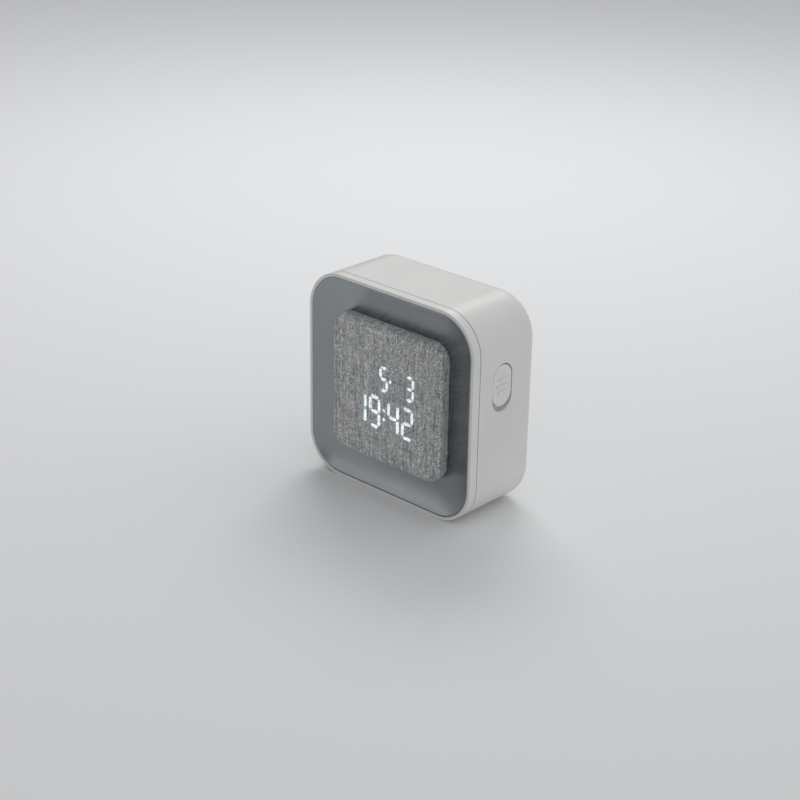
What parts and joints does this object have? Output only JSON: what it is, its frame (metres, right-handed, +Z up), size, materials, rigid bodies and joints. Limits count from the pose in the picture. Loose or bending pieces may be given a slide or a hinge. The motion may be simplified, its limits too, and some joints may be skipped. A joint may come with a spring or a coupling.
{
  "type": "talking clock",
  "caption": "Square talking table clock with a concave grey front, a cloth covered digit display, a side slide switch, rear keys, loudspeaker and battery door.",
  "frame": {"origin": "centre of the clock's footprint on the table, at the height of its flat underside", "axes": "+Z up, -Y towards the viewer of the display, +X to that viewer's right"},
  "size_m": [0.0903, 0.0412, 0.09],
  "materials": {
    "white_plastic": "fine satin moulded ABS",
    "grey_plastic": "satin grey painted ABS",
    "button_plastic": "fine satin moulded ABS",
    "inner_plastic": "black moulded ABS",
    "reflector_plastic": "white reflector plastic",
    "light_plastic": "clear light guide",
    "lamp_chip": "lamp package",
    "cloth": "woven grey melange linen look",
    "circuit_board": "glass epoxy laminate",
    "chip_plastic": "moulded epoxy",
    "steel": "nickel plated",
    "cell_jacket": "printed shrink jacket",
    "foam": "closed cell foam",
    "rubber_roll": "thin rubber",
    "cone_paper": "pressed paper",
    "lead_sleeve": "vinyl sleeve"
  },
  "bodies": {
    "case": {"front_bezel": "white_plastic", "housing": "white_plastic", "dish_panel": "grey_plastic", "pad_carrier": "inner_plastic", "fabric_cover": "cloth", "display_block": "reflector_plastic", "light_guides": "light_plastic", "led_chips": "lamp_chip", "display_board": "circuit_board", "display_connector": "inner_plastic", "main_board": "circuit_board", "board_components": "chip_plastic", "battery_cells": "cell_jacket", "battery_contacts": "steel", "battery_springs": "steel", "speaker_gasket": "foam", "speaker_frame": "steel", "speaker_magnet": "steel", "speaker_surround": "rubber_roll", "tact_switches": "chip_plastic", "key_boards": "circuit_board", "slide_switch_body": "chip_plastic", "switch_board": "circuit_board", "housing_screws": "steel", "pad_screws": "steel", "board_screws": "steel", "key_screws": "steel", "switch_screws": "steel", "speaker_leads": "lead_sleeve", "battery_leads": "lead_sleeve", "key_leads": "lead_sleeve", "switch_leads": "lead_sleeve"},
    "door": {"battery_door": "white_plastic"},
    "slide_switch": {"side_slider": "white_plastic", "slider_clip": "inner_plastic", "switch_lever": "chip_plastic"},
    "speaker_cone": {"speaker_diaphragm": "cone_paper"},
    "time_key": {"time_button": "button_plastic", "time_plunger": "chip_plastic"},
    "alarm_key": {"alarm_button": "button_plastic", "alarm_plunger": "chip_plastic"},
    "up_key": {"up_button": "button_plastic", "up_plunger": "chip_plastic"},
    "down_key": {"down_button": "button_plastic", "down_plunger": "chip_plastic"}
  },
  "joints": [
    {"name": "door_swing", "type": "hinge", "parent": "case", "child": "door", "pos_m": [0, 0.0206, 0.00805], "axis": [-1, 0, 0], "range_deg": [0, 80]},
    {"name": "slider_slide", "type": "slide", "parent": "case", "child": "slide_switch", "axis": [0, 0, -1], "range_m": [0, 0.002]},
    {"name": "cone_stroke", "type": "slide", "parent": "case", "child": "speaker_cone", "axis": [0, 1, 0], "range_m": [-0.0003, 0.0003], "stiffness_N_per_m": 400},
    {"name": "time_press", "type": "slide", "parent": "case", "child": "time_key", "axis": [0, -1, 0], "range_m": [0, 0.0008], "stiffness_N_per_m": 800, "springref_m": -0.0003},
    {"name": "alarm_press", "type": "slide", "parent": "case", "child": "alarm_key", "axis": [0, -1, 0], "range_m": [0, 0.0008], "stiffness_N_per_m": 800, "springref_m": -0.0003},
    {"name": "up_press", "type": "slide", "parent": "case", "child": "up_key", "axis": [0, -1, 0], "range_m": [0, 0.0008], "stiffness_N_per_m": 800, "springref_m": -0.0003},
    {"name": "down_press", "type": "slide", "parent": "case", "child": "down_key", "axis": [0, -1, 0], "range_m": [0, 0.0008], "stiffness_N_per_m": 800, "springref_m": -0.0003}
  ]
}
